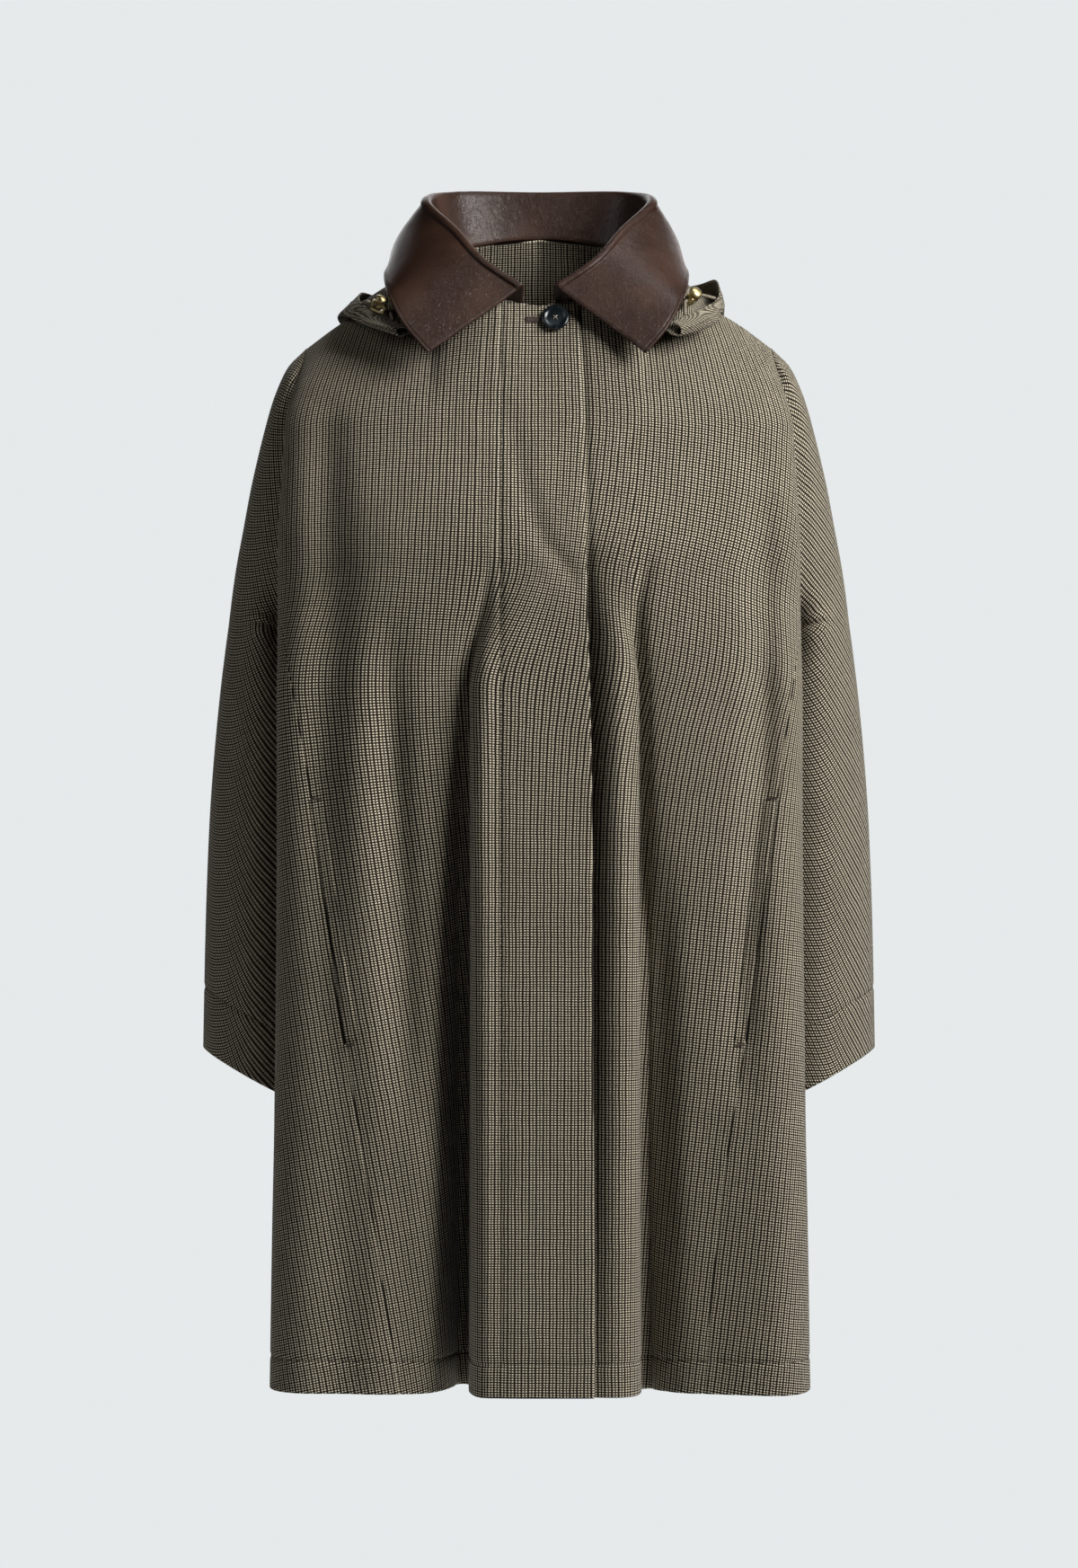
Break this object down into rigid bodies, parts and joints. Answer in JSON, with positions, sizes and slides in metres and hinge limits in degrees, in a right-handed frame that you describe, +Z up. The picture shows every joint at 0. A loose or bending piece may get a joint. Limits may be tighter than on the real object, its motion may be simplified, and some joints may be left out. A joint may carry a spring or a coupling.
{
  "type": "hooded cape",
  "caption": "Knee-length cape with batwing sleeves, leather shirt collar, laid-back hood with cord locks and slanted pockets, filled out as worn.",
  "frame": {"origin": "middle of the neck opening between the tops of the shoulders, where the wearer's neck and shoulders carry the cape", "axes": "+Z up, +X to the wearer's left, -Y to the wearer's front"},
  "size_m": [0.5614, 0.3497, 0.9904],
  "materials": {
    "cloth": "matt wool with a small dark and cream puppytooth check",
    "leather": "fine-grained brown leather with a soft sheen",
    "horn": "dark horn look, polished",
    "binding": "brown binding, satin",
    "brass": "antique gold, satin",
    "cord": "matt braided cord"
  },
  "bodies": {
    "garment": {"front_right": "cloth", "front_left": "cloth", "side_panel_right": "cloth", "side_panel_left": "cloth", "back": "cloth", "sleeve_right": "cloth", "sleeve_left": "cloth", "hood": "cloth", "pocket_welt_right": "cloth", "pocket_welt_left": "cloth", "collar": "leather", "button": "horn", "buttonhole": "binding", "cord_lock_right": "brass", "cord_lock_left": "brass", "drawcord_low_right": "cord", "drawcord_high_right": "cord", "drawcord_low_left": "cord", "drawcord_high_left": "cord"},
    "plunger_left": {"plunger_left": "brass"},
    "plunger_right": {"plunger_right": "brass"}
  },
  "joints": [
    {"name": "press_left", "type": "slide", "parent": "garment", "child": "plunger_left", "axis": [0.4507, -0.6509, 0.6109], "range_m": [-0.0018, 0], "stiffness_N_per_m": 250, "springref_m": 0.003},
    {"name": "press_right", "type": "slide", "parent": "garment", "child": "plunger_right", "axis": [0.399, -0.3491, 0.8479], "range_m": [-0.0018, 0], "stiffness_N_per_m": 250, "springref_m": 0.003}
  ]
}
